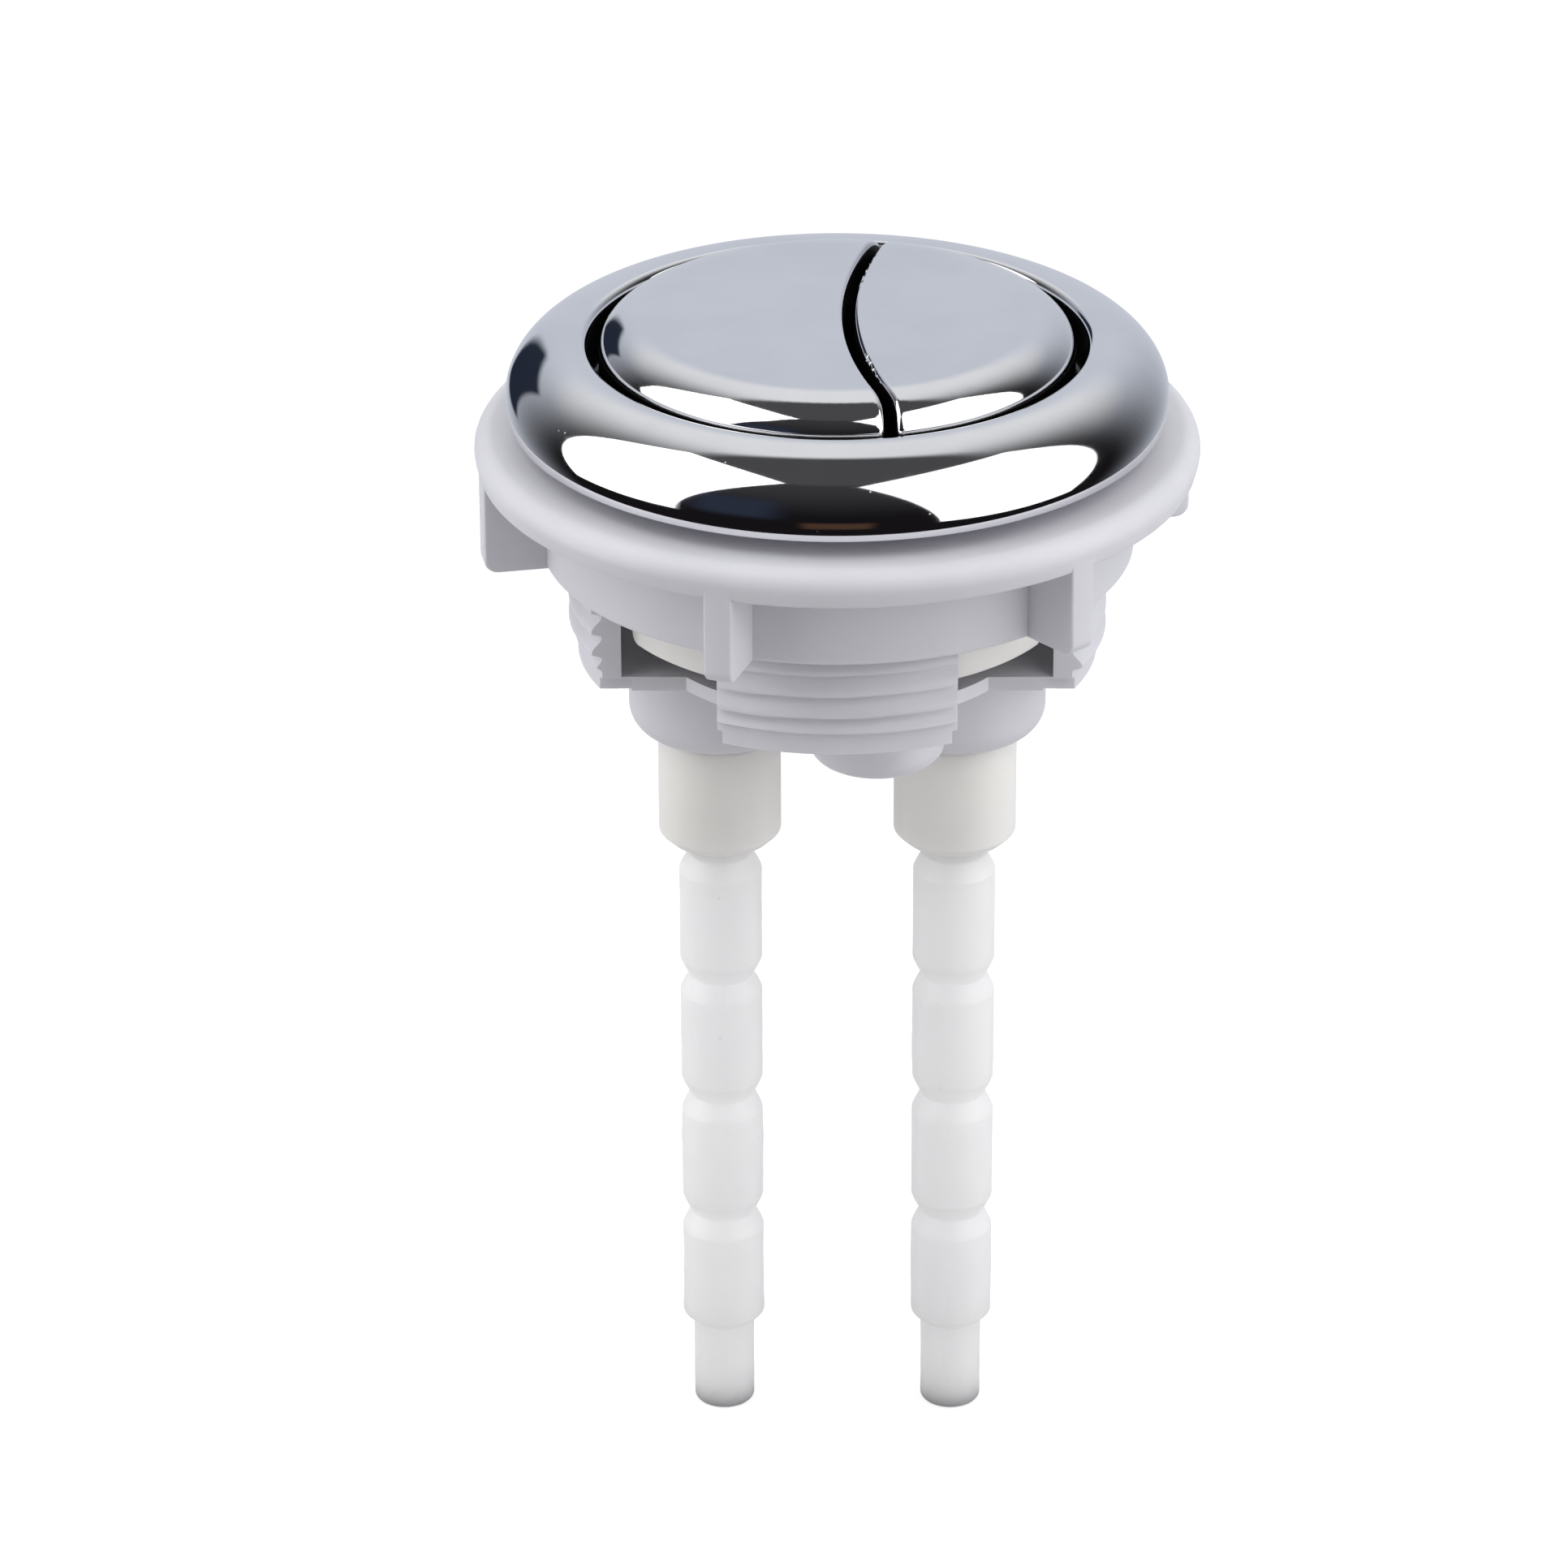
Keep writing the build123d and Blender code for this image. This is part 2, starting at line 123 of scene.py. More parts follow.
# Lock nut
nut_flange_r = 38.4
nut_top = -2.0
nut_plate_t = 2.6
nut_rim_h = 4.0
nut_rim_w = 2.4
nut_rim_taper = 15.0
nut_bottom = -15.4
nut_bore_r = 29.05
nut_hub_r = 31.55
nut_bore_round = 0.5
nut_edge_round = 2.0
nut_foot_round = 0.5
nut_rim_root = 0.3
nut_hub_root = 0.6
nut_hub_round = 0.5
nut_mouth_round = 0.4
nut_segments = 192
rib_count = 6
rib_t = 3.0
rib_in = 0.2  # rib's end inside the flange's edge
rib_root = 1.2  # rib's reach into the hub
rib_round = 1.5
rib_edge = 0.3
rib_angle = -108.7

# Sockets and rods
socket_r = 6.65
socket_top = -37.7
socket_bottom = -50.6
socket_chamfer_h = 1.1
socket_mouth_r = 5.5
socket_bore_r = 4.6
socket_seat_round = 0.2
socket_top_round = 0.5
socket_side_round = 0.5
socket_mouth_round = 0.3
socket_bore_round = 0.15
socket_segments = 96
stem_seat_r = 4.05
web_top = -42.7
web_bottom = -44.7
screw_hole_r = 1.4
rod_r = 4.55
rod_top = -47.5
first_notch = -52.5
notch_pitch = 14.9
notch_depth = 1.0
notch_half_h = 2.1
notch_power = 1.15  # above 1, so that a notch's flanks swell a little
tip_r = 3.4
tip_top = -111.3
tip_bottom = -121.7
tip_round = 0.6
shoulder_h = 1.3
rod_unevenness = 0.22
wobble_rate = 140.0  # waves of unevenness in a metre
wobble_bias = 0.75  # above the waves' middle, so that the rod is seldom thicker than its solid
rod_rings = 600
rod_sides = 72

# Springs
spring_r = 6.2
spring_wire_r = 0.5
spring_low = -35.35
spring_high = -13.55
spring_turns = 7.0
closed_turns = 0.8  # at each end
coil_steps = 420
wire_sides = 16

# Copies of solids
copy_weld = 0.002

# Camera
view_el = radians(26.39)
view_dist = 748.6 * MM
view_target_z = -44.5 * MM
view_sensor = 36.0
view_lens = 158.46
view_shift = -0.034

# Floor: its tones, and in metres its reach and where the tones change
floor_drop = 0.05  # in millimetres, below the rods' tips
floor_reach = 3.0
floor_tones = (0.29, 0.31)
floor_glow = 0.78
bounce_aside = (0.02, 0.14)
bounce_aside_tones = (0.55, 0.85)
bounce_front = (-0.16, -0.05)
bounce_front_tones = (0.6, 1.0)

# Studio: colours, and in degrees where they change
wall_low = (0.59, 0.62, 0.69, 1.0)
wall_high = (0.79, 0.795, 0.81, 1.0)
wall_levels = (24, 38)
front_low = (0.008, 0.007, 0.008, 1.0)
front_high = (0.04, 0.04, 0.043, 1.0)
front_levels = (-10, 65)
back_headings = (102, 172)
ceiling = (0.068, 0.068, 0.072, 1.0)
ceiling_levels = (61, 68)
room_patches = (  # heading, half width, lowest and highest level, softness, colour
    (-150, 11, -14, 20, 2, (0.017, 0.023, 0.038, 1.0)),
    (-35, 14, -12, 28, 8, (0.024, 0.03, 0.05, 1.0)),
    (0, 12, -32, -18, 3, (0.07, 0.038, 0.024, 1.0)),
)
tent_front = 0.5
tent_back = 0.95
tent_top = 0.7
tent_top_levels = (45, 70)
tent_gap = 0.02
tent_gap_heading = -18
tent_gap_widths = (25, 65)


# Nodes

def add(tree, kind, values=None, **settings):
    """A node of a tree, with its settings, and its inputs set to values or linked to other nodes' outputs."""
    made = tree.nodes.new(kind)
    for key, value in settings.items():
        setattr(made, key, value)
    for key, value in (values or {}).items():
        if isinstance(value, bpy.types.NodeSocket):
            tree.links.new(value, made.inputs[key])
        else:
            made.inputs[key].default_value = value
    return made


def calc(tree, operation, first, second=0.0, third=0.0):
    """Output of a math node."""
    return add(tree, "ShaderNodeMath", {0: first, 1: second, 2: third}, operation=operation).outputs[0]


def ramp_between(tree, value, low, high, start=0.0, end=1.0, smooth=True):
    """Output that goes from start to end while value goes from low to high."""
    kind = "SMOOTHSTEP" if smooth else "LINEAR"
    spans = {"Value": value, "From Min": low, "From Max": high, "To Min": start, "To Max": end}
    return add(tree, "ShaderNodeMapRange", spans, interpolation_type=kind).outputs[0]


def mix_colour(tree, share, first, second):
    """Output that goes from the first colour to the second while share goes from 0 to 1."""
    return add(tree, "ShaderNodeMix", {0: share, 6: first, 7: second}, data_type="RGBA").outputs[2]


def noise(tree, place, scale, detail, roughness=0.5):
    """Output of a noise texture."""
    values = {"Vector": place, "Scale": scale, "Detail": detail, "Roughness": roughness}
    return add(tree, "ShaderNodeTexNoise", values).outputs["Fac"]


def rule_tree(name, floats, counts=()):
    """Geometry node tree with named inputs and a material; gives the tree and what it is given."""
    tree = bpy.data.node_groups.new(name, "GeometryNodeTree")
    for way in ("INPUT", "OUTPUT"):
        tree.interface.new_socket("Geometry", in_out=way, socket_type="NodeSocketGeometry")
    for kind, labels in (("Float", floats), ("Int", counts), ("Material", ["Material"])):
        for label in labels:
            tree.interface.new_socket(label, in_out="INPUT", socket_type=f"NodeSocket{kind}")
    return tree, tree.nodes.new("NodeGroupInput").outputs


def close_tree(tree, geometry, material):
    """End of a geometry node tree: real meshes in one material."""
    real = add(tree, "GeometryNodeRealizeInstances", {0: geometry})
    painted = add(tree, "GeometryNodeSetMaterial", {"Geometry": real.outputs[0], "Material": material})
    tree.links.new(painted.outputs[0], tree.nodes.new("NodeGroupOutput").inputs[0])


# Meshes

def put_in_scene(name, data):
    """Object for a mesh, a lamp or a camera, at the origin."""
    piece = bpy.data.objects.new(name, data)
    bpy.context.scene.collection.objects.link(piece)
    return piece


def empty_piece(name):
    """Object with an empty mesh, for a tree that makes its own geometry."""
    return put_in_scene(name, bpy.data.meshes.new(name))


def closed_shell(name, points, faces):
    """Object for a closed shell given in millimetres, with its faces outwards."""
    mesh = bpy.data.meshes.new(name)
    mesh.from_pydata([Vector(point) * MM for point in points], [], faces)
    shell = bmesh.new()
    shell.from_mesh(mesh)
    bmesh.ops.recalc_face_normals(shell, faces=shell.faces)
    shell.to_mesh(mesh)
    shell.free()
    return put_in_scene(name, mesh)


def shade(piece, angle=35):
    """Smooth shading, with edges sharper than the angle left crisp."""
    piece.data.shade_smooth()
    piece.data.set_sharp_from_angle(angle=radians(angle))


def bake_modifiers(piece):
    """Turn a piece with its modifiers into a plain mesh."""
    depsgraph = bpy.context.evaluated_depsgraph_get()
    mesh = bpy.data.meshes.new_from_object(piece.evaluated_get(depsgraph))
    piece.modifiers.clear()
    piece.data = mesh


def combine(piece, other, operation):
    """Cut other from piece, or join it to piece, and remove other."""
    modifier = piece.modifiers.new(operation, "BOOLEAN")
    modifier.operation = operation
    modifier.solver = "EXACT"
    modifier.object = other
    bake_modifiers(piece)
    bpy.data.objects.remove(other)


def grow(piece, tree, lengths, others):
    """Run a tree on a piece, with lengths in millimetres and its other inputs, and keep the plain mesh."""
    values = {label: length * MM for label, length in lengths.items()} | others
    modifier = piece.modifiers.new(tree.name, "NODES")
    modifier.node_group = tree
    for item in tree.interface.items_tree:
        if item.in_out == "INPUT" and item.name in values:
            modifier[item.identifier] = values[item.name]
    bake_modifiers(piece)
    return piece


def bend(centre, radius, start, sweep, steps, squash=1.0):
    """Points of an arc, from the angle start through sweep degrees, its height times squash."""
    points = []
    for step in range(steps + 1):
        angle = radians(start + sweep * step / steps)
        points.append((centre[0] + radius * cos(angle), centre[1] + radius * squash * sin(angle)))
    return points


def softened(corners, steps=6):
    """Closed outline with its corners rounded: each corner is x, z and the radius of its round."""
    outline = []
    for index, (x, z, radius) in enumerate(corners):
        here = Vector((x, z))
        if radius == 0:
            outline.append((x, z))
            continue
        before = (Vector(corners[index - 1][:2]) - here).normalized()
        after = (Vector(corners[(index + 1) % len(corners)][:2]) - here).normalized()
        half = before.angle(after) / 2
        centre = here + (before + after).normalized() * radius / sin(half)
        first = here + before * radius / tan(half) - centre
        last = here + after * radius / tan(half) - centre
        start = degrees(atan2(first.y, first.x))
        sweep = (degrees(atan2(last.y, last.x)) - start + 180) % 360 - 180
        outline += bend(centre, radius, start, sweep, steps)
    return outline


def rectangle(low, high):
    """Plan of a rectangle between two opposite corners."""
    return [(low[0], low[1]), (high[0], low[1]), (high[0], high[1]), (low[0], high[1])]


def turned(name, outline, segments, x=0.0, y=0.0, shift=0.0):
    """Solid of a closed outline of radii and heights, turned about the vertical axis at x, y.

    Shift starts the turn a part of a segment on.
    """
    points = []
    rings = []
    for radius, z in outline:
        first = len(points)
        if radius == 0:
            points.append((x, y, z))
            rings.append([first] * segments)
            continue
        for step in range(segments):
            angle = 2 * pi * (step + shift) / segments
            points.append((x + radius * cos(angle), y + radius * sin(angle), z))
        rings.append(list(range(first, first + segments)))
    faces = []
    for ring, following in zip(rings, rings[1:] + rings[:1]):
        for step in range(segments):
            after = (step + 1) % segments
            corners = dict.fromkeys((ring[step], ring[after], following[after], following[step]))
            if len(corners) > 2:
                faces.append(list(corners))
    return closed_shell(name, points, faces)


def prism(name, first, second):
    """Solid between two outlines with the same number of points."""
    count = len(first)
    faces = [list(range(count)), list(range(count, 2 * count))]
    for index in range(count):
        after = (index + 1) % count
        faces.append([index, after, count + after, count + index])
    return closed_shell(name, first + second, faces)


def upright(name, plan, bottom, top):
    """Solid of a closed plan, raised from bottom to top."""
    return prism(name, [(x, y, bottom) for x, y in plan], [(x, y, top) for x, y in plan])


# Finishes

def mask_group(name, inputs, outputs):
    """Shader node group with named inputs and outputs; gives the group and what it is given."""
    group = bpy.data.node_groups.new(name, "ShaderNodeTree")
    for label, kind, value in inputs:
        socket = group.interface.new_socket(label, in_out="INPUT", socket_type=f"NodeSocket{kind}")
        socket.default_value = value
    for label, kind in outputs:
        group.interface.new_socket(label, in_out="OUTPUT", socket_type=f"NodeSocket{kind}")
    return group, group.nodes.new("NodeGroupInput").outputs


def close_group(group, results):
    """End of a shader node group: its outputs, by name."""
    add(group, "NodeGroupOutput", results)
    return group


def moulded_skin_group():
    """Colour drift, gloss drift and fine skin of moulded plastic."""
    group, given = mask_group(
        "moulded_skin",
        [
            ("Colour", "Color", (0.7, 0.7, 0.7, 1.0)),
            ("Shaded Colour", "Color", (0.6, 0.6, 0.6, 1.0)),
            ("Drift Scale", "Float", 60.0),
            ("Skin Scale", "Float", 2500.0),
            ("Roughness", "Float", 0.4),
            ("Roughness Spread", "Float", 0.1),
        ],
        [("Colour", "Color"), ("Roughness", "Float"), ("Height", "Float")],
    )
    drift_span = (0.35, 0.7)
    drift_middle = 0.5
    place = add(group, "ShaderNodeTexCoord").outputs["Object"]
    drift = noise(group, place, given["Drift Scale"], detail=3.0, roughness=0.55)
    skin = noise(group, place, given["Skin Scale"], detail=2.0)
    blend = ramp_between(group, drift, *drift_span)
    colour = mix_colour(group, blend, given["Colour"], given["Shaded Colour"])
    swing = calc(group, "SUBTRACT", drift, drift_middle)
    gloss = calc(group, "MULTIPLY_ADD", swing, given["Roughness Spread"], given["Roughness"])
    return close_group(group, {"Colour": colour, "Roughness": gloss, "Height": skin})


def handling_marks_group():
    """Small specks and faint rubbed streaks from handling."""
    group, given = mask_group(
        "handling_marks",
        [("Speck Scale", "Float", 900.0), ("Speck Share", "Float", 0.1), ("Streak Scale", "Float", 200.0)],
        [("Specks", "Float"), ("Streaks", "Float")],
    )
    speck_edge = (0.05, 0.22)
    streak_span = (0.56, 0.72)
    streak_stretch = (1.0, 0.12, 1.0)
    place = add(group, "ShaderNodeTexCoord").outputs["Object"]
    cells = add(group, "ShaderNodeTexVoronoi", {"Vector": place, "Scale": given["Speck Scale"]}).outputs
    chosen = add(group, "ShaderNodeSeparateColor", {0: cells["Color"]}).outputs[0]
    dot = ramp_between(group, cells["Distance"], *speck_edge, 1.0, 0.0)
    kept = calc(group, "LESS_THAN", chosen, given["Speck Share"])
    stretched = add(group, "ShaderNodeMapping", {"Vector": place, "Scale": streak_stretch}).outputs[0]
    rubbed = noise(group, stretched, given["Streak Scale"], detail=4.0, roughness=0.6)
    specks = calc(group, "MULTIPLY", dot, kept)
    return close_group(group, {"Specks": specks, "Streaks": ramp_between(group, rubbed, *streak_span)})


skin_group = moulded_skin_group()
marks_group = handling_marks_group()


def bare_material(name):
    """Material without nodes; gives the material and its tree."""
    material = bpy.data.materials.new(name)
    material.use_nodes = True
    material.node_tree.nodes.clear()
    return material, material.node_tree


def finish_material(tree, shader):
    """Link a shader to the output of its material."""
    tree.links.new(shader.outputs[0], tree.nodes.new("ShaderNodeOutputMaterial").inputs["Surface"])


def skin_and_marks(tree, look):
    """Outputs of the two groups, placed in a material with the values of its look."""
    base = add(tree, "ShaderNodeGroup", look["skin"], node_tree=skin_group).outputs
    marks = add(tree, "ShaderNodeGroup", look["marks"], node_tree=marks_group).outputs
    return base, marks


def skin_bump(tree, base, look):
    """Normal of a surface with its fine skin."""
    values = {"Height": base["Height"], "Strength": look["skin_strength"], "Distance": look["skin_depth"]}
    return add(tree, "ShaderNodeBump", values).outputs[0]


def plastic(name, look):
    """Moulded plastic: skin values, specks of dust, and the shader's own constants."""
    material, tree = bare_material(name)
    base, marks = skin_and_marks(tree, look)
    dusty = calc(tree, "MULTIPLY", marks["Specks"], look["dust"])
    colour = mix_colour(tree, dusty, base["Colour"], look["dust_colour"])
    rubbed = calc(tree, "MULTIPLY_ADD", marks["Streaks"], look["rub"], base["Roughness"])
    normal = skin_bump(tree, base, look)
    shader = add(
        tree, "ShaderNodeBsdfPrincipled",
        {"Base Color": colour, "Roughness": rubbed, "Normal": normal, **look["shader"]},
    )
    finish_material(tree, shader)
    return material


def chrome(name, look):
    """Bright plating with faint waviness, specks and rubbed patches; inside the gaps its upright faces are
    dulled and painted near black as shade.
    """
    material, tree = bare_material(name)
    base, marks = skin_and_marks(tree, look)
    facing = add(tree, "ShaderNodeNewGeometry").outputs["Normal"]
    upward = calc(tree, "ABSOLUTE", add(tree, "ShaderNodeSeparateXYZ", {0: facing}).outputs[2])
    place = add(tree, "ShaderNodeTexCoord").outputs["Object"]
    flat_place = add(
        tree, "ShaderNodeVectorMath", {0: place, 1: (1.0, 1.0, 0.0)}, operation="MULTIPLY"
    ).outputs[0]
    out = add(tree, "ShaderNodeVectorMath", {0: flat_place}, operation="LENGTH").outputs["Value"]
    gap_faces_dulled_and_shaded = calc(
        tree, "MULTIPLY",
        ramp_between(tree, upward, *look["wall_slopes"], 1.0, 0.0),
        calc(tree, "LESS_THAN", out, (opening_r + gap_wall_room) * MM),
    )
    dull = calc(tree, "MULTIPLY_ADD", marks["Streaks"], look["rub"], base["Roughness"])
    dull = calc(tree, "MULTIPLY_ADD", marks["Specks"], look["speck_dulling"], dull)
    dull = calc(tree, "MULTIPLY_ADD", gap_faces_dulled_and_shaded, look["wall_dulling"], dull)
    # painted shade: upright faces inside the gaps are mixed to near black, standing in for the shade that
    # falls there
    colour = mix_colour(tree, gap_faces_dulled_and_shaded, base["Colour"], look["gap_shade_colour"])
    normal = skin_bump(tree, base, look)
    shader = add(
        tree, "ShaderNodeBsdfPrincipled",
        {"Base Color": colour, "Metallic": 1.0, "Roughness": dull, "Normal": normal},
    )
    finish_material(tree, shader)
    return material


def steel(name, look):
    """Plain drawn steel wire and screws."""
    material, tree = bare_material(name)
    base, marks = skin_and_marks(tree, look)
    worn = calc(tree, "MULTIPLY_ADD", marks["Streaks"], look["rub"], base["Roughness"])
    shader = add(
        tree, "ShaderNodeBsdfPrincipled",
        {"Base Color": base["Colour"], "Metallic": 1.0, "Roughness": worn},
    )
    finish_material(tree, shader)
    return material


chrome_look = {
    "skin": {
        "Colour": (0.86, 0.865, 0.88, 1.0),
        "Shaded Colour": (0.82, 0.825, 0.845, 1.0),
        "Drift Scale": 90.0,
        "Skin Scale": 420.0,
        "Roughness": 0.05,
        "Roughness Spread": 0.05,
    },
    "marks": {"Speck Scale": 1500.0, "Speck Share": 0.035, "Streak Scale": 260.0},
    "rub": 0.035,
    "speck_dulling": 0.3,
    "wall_dulling": 0.4,
    "wall_slopes": (0.08, 0.2),
    # near black of the painted shade on the upright faces inside the gaps
    "gap_shade_colour": (0.02, 0.02, 0.022, 1.0),
    "skin_strength": 0.05,
    "skin_depth": 0.00003,
}
steel_look = {
    "skin": {
        "Colour": (0.55, 0.55, 0.56, 1.0),
        "Shaded Colour": (0.42, 0.42, 0.43, 1.0),
        "Drift Scale": 400.0,
        "Skin Scale": 3000.0,
        "Roughness": 0.3,
        "Roughness Spread": 0.2,
    },
    "marks": {"Speck Scale": 2000.0, "Speck Share": 0.1, "Streak Scale": 900.0},
    "rub": 0.15,
}
white_look = {
    "skin": {
        "Colour": (0.69, 0.685, 0.735, 1.0),
        "Shaded Colour": (0.66, 0.655, 0.705, 1.0),
        "Drift Scale": 70.0,
        "Skin Scale": 2600.0,
        "Roughness": 0.4,
        "Roughness Spread": 0.12,
    },
    "marks": {"Speck Scale": 700.0, "Speck Share": 0.02, "Streak Scale": 150.0},
    "dust": 0.25,
    "dust_colour": (0.45, 0.43, 0.42, 1.0),
    "rub": 0.06,
    "skin_strength": 0.12,
    "skin_depth": 0.00002,
    "shader": {"Subsurface Weight": 0.12, "Subsurface Scale": 0.0015, "Subsurface Radius": (1.0, 0.95, 0.9)},
}
cream_look = {
    **white_look,
    "skin": {
        **white_look["skin"],
        "Colour": (0.905, 0.88, 0.85, 1.0),
        "Shaded Colour": (0.885, 0.855, 0.815, 1.0),
    },
    "shader": {"Subsurface Weight": 0.6, "Subsurface Scale": 0.005, "Subsurface Radius": (1.0, 0.97, 0.93)},
}
rod_look = {
    **white_look,
    "skin": {
        **white_look["skin"],
        "Colour": (0.815, 0.80, 0.82, 1.0),
        "Shaded Colour": (0.775, 0.76, 0.785, 1.0),
        "Drift Scale": 45.0,
        "Roughness": 0.45,
    },
    "shader": {"Subsurface Weight": 1.0, "Subsurface Scale": 0.02, "Subsurface Radius": (1.0, 0.97, 0.95)},
}
chrome_plate = chrome("chrome_plate", chrome_look)
white_abs = plastic("white_abs", white_look)
cream_abs = plastic("cream_abs", cream_look)
rod_nylon = plastic("rod_nylon", rod_look)
steel_wire = steel("steel", steel_look)


def dress(piece, material, slot, body, *nodes):
    """Give a finished piece its material and its body, and hide the nodes that it stands for; slot is not
    used.
    """
    piece.data.materials.clear()
    piece.data.materials.append(material)
    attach(piece, body)
    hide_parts(*nodes)


# Bezel ring

dome_w = bezel_r - opening_r - crown_round
dome_h = bezel_h - bulge_z
crown_r = opening_r + crown_round
tube_r = opening_r + bezel_wall
bezel_in_r = bezel_r - bezel_wall
snap_r = bezel_in_r - snap_w
lip_r = (lip_in ** 2 + bulge_z ** 2) / (2 * lip_in)
lip_sweep = degrees(asin(bulge_z / lip_r))
hollow_w = dome_w - bezel_wall
hollow_h = dome_h - bezel_wall
hollow_start = degrees(acos((tube_r - crown_r) / hollow_w))
bezel_outline = (
    bend((bezel_r - lip_r, bulge_z), lip_r, -lip_sweep, lip_sweep, lip_steps)[:-1]
    + bend((crown_r, bulge_z), dome_w, 0, 90, dome_steps, dome_h / dome_w)[:-1]
    + bend((crown_r, bezel_h - crown_round), crown_round, 90, 90, crown_steps)
    + [(opening_r, flange_t), (tube_r, flange_t)]
    + bend((crown_r, bulge_z), hollow_w, hollow_start, -hollow_start, hollow_steps, hollow_h / hollow_w)
    + [(bezel_in_r, snap_h), (snap_r, snap_h), (snap_r, 0)]
)
bezel = turned("bezel", bezel_outline, bezel_segments)
shade(bezel)
dress(bezel, chrome_plate, "chrome_plate", "housing", "bezel_ring")


# Barrel

def threaded_tube_tree():
    """Tube whose outside carries a helical ridge, sloped above and undercut below.

    It is rolled from a grid: the first and last rows are the bore's upper edge, the last but one is the
    bore's lower edge, and the rows between them are the outside.
    """
    tree, size = rule_tree(
        "threaded_tube",
        ("Crest Radius", "Bore Radius", "Depth", "Pitch", "Crest Level", "Top", "Bottom"),
        ("Segments", "Rows"),
    )
    grid = add(
        tree, "GeometryNodeMeshGrid",
        {"Size X": 1.0, "Size Y": 1.0, "Vertices X": size["Segments"], "Vertices Y": size["Rows"]},
    )
    place = add(tree, "GeometryNodeInputPosition").outputs[0]
    spread = add(tree, "ShaderNodeSeparateXYZ", {0: place}).outputs
    turn = calc(tree, "ADD", spread[0], 0.5)
    angle = calc(tree, "MULTIPLY", turn, 2 * pi)
    last_row = calc(tree, "SUBTRACT", size["Rows"], 1.0)
    row = calc(tree, "ROUND", calc(tree, "MULTIPLY", calc(tree, "ADD", spread[1], 0.5), last_row))
    low_row = calc(tree, "SUBTRACT", last_row, 2.0)
    down = ramp_between(tree, row, 1.0, low_row, size["Top"], size["Bottom"], smooth=False)
    rise = calc(tree, "MULTIPLY_ADD", turn, size["Pitch"], size["Crest Level"])
    phase = calc(tree, "FRACT", calc(tree, "DIVIDE", calc(tree, "SUBTRACT", rise, down), size["Pitch"]))
    phase = calc(tree, "WRAP", phase, 1.0, 0.0)
    slope = ramp_between(tree, phase, ridge_foot, ridge_full)
    edge = ramp_between(tree, phase, ridge_edge, 1.0, 1.0, 0.0)
    fade = calc(tree, "MULTIPLY", size["Pitch"], ridge_fade)
    below = calc(tree, "SUBTRACT", size["Crest Level"], fade)
    above = calc(tree, "ADD", size["Crest Level"], fade)
    ridge = calc(tree, "MULTIPLY", slope, edge)
    ridge = calc(tree, "MULTIPLY", ridge, ramp_between(tree, down, below, above))
    cut = calc(tree, "MULTIPLY", calc(tree, "SUBTRACT", 1.0, ridge), size["Depth"])
    outside = calc(tree, "SUBTRACT", size["Crest Radius"], cut)
    is_outside = calc(
        tree, "MULTIPLY",
        calc(tree, "GREATER_THAN", row, 0.5),
        calc(tree, "LESS_THAN", row, calc(tree, "ADD", low_row, 0.5)),
    )
    wall = calc(tree, "SUBTRACT", outside, size["Bore Radius"])
    radius = calc(tree, "MULTIPLY_ADD", wall, is_outside, size["Bore Radius"])
    is_last = calc(tree, "GREATER_THAN", row, calc(tree, "SUBTRACT", last_row, 0.5))
    height = calc(tree, "MULTIPLY_ADD", calc(tree, "SUBTRACT", size["Top"], down), is_last, down)
    spot = add(
        tree, "ShaderNodeCombineXYZ",
        {
            0: calc(tree, "MULTIPLY", radius, calc(tree, "COSINE", angle)),
            1: calc(tree, "MULTIPLY", radius, calc(tree, "SINE", angle)),
            2: height,
        },
    ).outputs[0]
    rolled = add(tree, "GeometryNodeSetPosition", {"Geometry": grid.outputs[0], "Position": spot})
    welded = add(
        tree, "GeometryNodeMergeByDistance", {"Geometry": rolled.outputs[0], "Distance": seam_weld * MM}
    )
    close_tree(tree, welded.outputs[0], size["Material"])
    return tree


def cut_windows(tube):
    """Cut the four windows that leave the tongues."""
    half = thread_r / 2
    middle = arm_w / 2 + half
    for x in (-middle, middle):
        for y in (-middle, middle):
            plan = rectangle((x - half, y - half), (x + half, y + half))
            combine(tube, upright("window", plan, barrel_bottom - overcut, window_top), "DIFFERENCE")


def cross_plan():
    """Plan of the barrel's floor: a disc with four arms that reach into the tongues."""
    reach = (bore_r + thread_r - thread_depth) / 2
    half = arm_w / 2 - arm_inset
    smallest = 0.001  # keeps the divisions finite
    plan = []
    for step in range(floor_steps):
        angle = 2 * pi * step / floor_steps
        along = max(abs(cos(angle)), smallest)
        across = max(abs(sin(angle)), smallest)
        arm = max(min(reach, half / along), min(reach, half / across))
        radius = max(floor_r, arm)
        plan.append((radius * cos(angle), radius * sin(angle)))
    return plan


def post_outline(radius, bottom, edge_round):
    """Outline of a round post that hangs from the floor's top."""
    corners = [(0, bottom, 0), (radius, bottom, edge_round), (radius, floor_top, 0), (0, floor_top, 0)]
    return softened(corners, steps=10)


